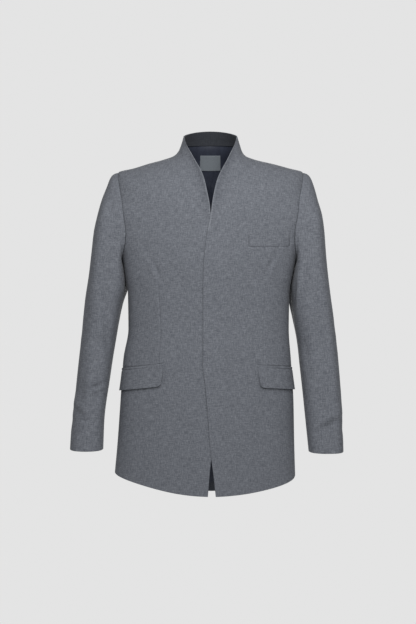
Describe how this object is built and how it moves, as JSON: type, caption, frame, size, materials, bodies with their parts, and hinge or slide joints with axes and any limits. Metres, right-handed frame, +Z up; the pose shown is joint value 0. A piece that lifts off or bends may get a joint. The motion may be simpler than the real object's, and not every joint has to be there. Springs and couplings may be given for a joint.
{
  "type": "blazer",
  "caption": "Grey tailored blazer with a stand collar cut in one with its fronts, a hidden front closing, flap pockets and a chest welt, in its hollow worn form.",
  "frame": {"origin": "the middle of the neck between the shoulders, level with where the shoulders begin, which is where a wearer or a hanger carries the blazer", "axes": "+Z up, -Y the way the front faces, +X to the wearer's left"},
  "size_m": [0.637, 0.2504, 0.8578],
  "materials": {
    "grey_cloth": "fine mottled grey wool cloth, matt with a slight nap",
    "navy_lining": "smooth dark navy lining with a faint sheen",
    "label": "plain woven label, blank"
  },
  "bodies": {
    "root": {"front_left": "grey_cloth", "front_right": "grey_cloth", "side_left": "grey_cloth", "side_right": "grey_cloth", "back_left": "grey_cloth", "back_right": "grey_cloth", "collar_stand": "grey_cloth", "collar_facing": "grey_cloth", "upper_sleeve_left": "grey_cloth", "upper_sleeve_right": "grey_cloth", "under_sleeve_left": "grey_cloth", "under_sleeve_right": "grey_cloth", "flap_left": "grey_cloth", "flap_right": "grey_cloth", "jet_left": "grey_cloth", "jet_right": "grey_cloth", "chest_welt": "grey_cloth", "hem_turn_up": "grey_cloth", "lining_back": "navy_lining", "neck_label": "label"}
  },
  "joints": []
}
